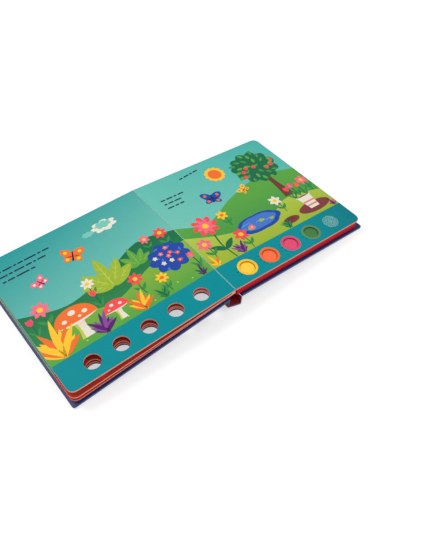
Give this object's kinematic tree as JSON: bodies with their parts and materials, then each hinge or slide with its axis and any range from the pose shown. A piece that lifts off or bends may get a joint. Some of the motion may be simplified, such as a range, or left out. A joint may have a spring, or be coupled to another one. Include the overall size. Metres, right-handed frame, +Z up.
{
  "type": "childrens sound board book",
  "caption": "Open board book for children with finger holes through its turned leaves, a block with sound buttons and a speaker, hinged covers and a spine.",
  "frame": {"origin": "middle of the footprint on the table, at the table's level", "axes": "+X towards the fore-edge of the right-hand page, +Y away from the reader along the gutter, +Z up"},
  "size_m": [0.4038, 0.203, 0.0273],
  "materials": {
    "page_paper": "satin printed board",
    "cover_print": "glossy laminated navy",
    "block_red": "matte red",
    "strip_teal": "satin print",
    "hinge_red": "dark red lining",
    "next_leaf_red": "satin print",
    "print_forest": "satin print",
    "print_field": "satin print",
    "print_lime": "satin print",
    "print_orange": "satin print",
    "print_coral": "satin print",
    "print_cream": "satin print",
    "print_blue": "satin print",
    "print_brown": "satin print",
    "print_yellow": "satin print",
    "button_yellow": "matte",
    "button_orange": "matte",
    "button_pink": "matte",
    "button_green": "matte",
    "grille_teal": "matte",
    "case_white": "matte",
    "circuit_green": "solder mask",
    "black_plastic": "matte",
    "steel": "bright",
    "gold": "bright",
    "lead_red": "insulation"
  },
  "bodies": {
    "back": {"last_page": "page_paper", "sound_block": "block_red", "back_cover": "cover_print", "battery_door": "case_white", "door_screw": "steel", "module_case": "case_white", "circuit_board": "circuit_green", "sound_chip": "black_plastic", "contact_pad_1": "gold", "button_ring_1": "button_yellow", "contact_pad_2": "gold", "button_ring_2": "button_orange", "contact_pad_3": "gold", "button_ring_3": "button_pink", "contact_pad_4": "gold", "button_ring_4": "button_green", "speaker_grille": "grille_teal", "speaker_frame": "steel", "speaker_cone": "black_plastic", "speaker_magnet": "steel", "speaker_lead_black": "black_plastic", "speaker_lead_red": "lead_red", "button_cell_1": "steel", "button_cell_2": "steel", "button_cell_3": "steel", "battery_contact_plus": "gold", "battery_contact_minus": "gold", "right_strip_print": "strip_teal", "right_far_hill_print": "print_field", "right_field_print": "print_lime", "pond_print": "print_blue", "tree_crown_print": "print_forest", "sun_print": "print_yellow", "daisy_print": "print_coral", "tree_trunk_print": "print_brown"},
    "front": {"left_pages": "page_paper", "front_cover": "cover_print", "left_strip_print": "strip_teal", "next_leaf_strip_print": "next_leaf_red", "left_far_hill_print": "print_forest", "left_field_print": "print_field", "large_toadstool_cap_print": "print_orange", "large_toadstool_stem_print": "print_cream", "small_toadstool_cap_print": "print_coral", "small_toadstool_stem_print": "print_cream", "left_cloud_print": "print_cream", "left_bush_print": "print_blue"},
    "back_strip": {"back_joint_strip": "hinge_red"},
    "spine": {"spine_board": "cover_print"},
    "front_strip": {"front_joint_strip": "hinge_red"},
    "button_1": {"button_1": "button_yellow"},
    "button_2": {"button_2": "button_orange"},
    "button_3": {"button_3": "button_pink"},
    "button_4": {"button_4": "button_green"}
  },
  "joints": [
    {"name": "cover_hinge", "type": "hinge", "parent": "back", "child": "front", "pos_m": [0.00008, 0, 0.02777], "axis": [0, 1, 0], "range_deg": [0, 175]},
    {"name": "back_strip_fold", "type": "hinge", "parent": "back", "child": "back_strip", "pos_m": [0.00776, 0, 0.01226], "axis": [0, 1, 0], "range_deg": [0, 87.6]},
    {"name": "spine_fold", "type": "hinge", "parent": "back_strip", "child": "spine", "pos_m": [0.00711, 0, 0.00198], "axis": [0, 1, 0], "range_deg": [-19.6, 0]},
    {"name": "front_strip_fold", "type": "hinge", "parent": "front", "child": "front_strip", "pos_m": [-0.0094, 0, 0.0173], "axis": [0, 1, 0], "range_deg": [-110.4, 0]},
    {"name": "button_1_press", "type": "slide", "parent": "back", "child": "button_1", "axis": [-0.0632, 0, -0.998], "range_m": [0, 0.0009], "stiffness_N_per_m": 1500},
    {"name": "button_2_press", "type": "slide", "parent": "back", "child": "button_2", "axis": [-0.0632, 0, -0.998], "range_m": [0, 0.0009], "stiffness_N_per_m": 1500},
    {"name": "button_3_press", "type": "slide", "parent": "back", "child": "button_3", "axis": [-0.0632, 0, -0.998], "range_m": [0, 0.0009], "stiffness_N_per_m": 1500},
    {"name": "button_4_press", "type": "slide", "parent": "back", "child": "button_4", "axis": [-0.0632, 0, -0.998], "range_m": [0, 0.0009], "stiffness_N_per_m": 1500}
  ],
  "couplings": [
    {"joint": "back_strip_fold", "follows": "cover_hinge", "ratio": 0.5},
    {"joint": "spine_fold", "follows": "cover_hinge", "ratio": -0.1114},
    {"joint": "front_strip_fold", "follows": "cover_hinge", "ratio": -0.63}
  ]
}
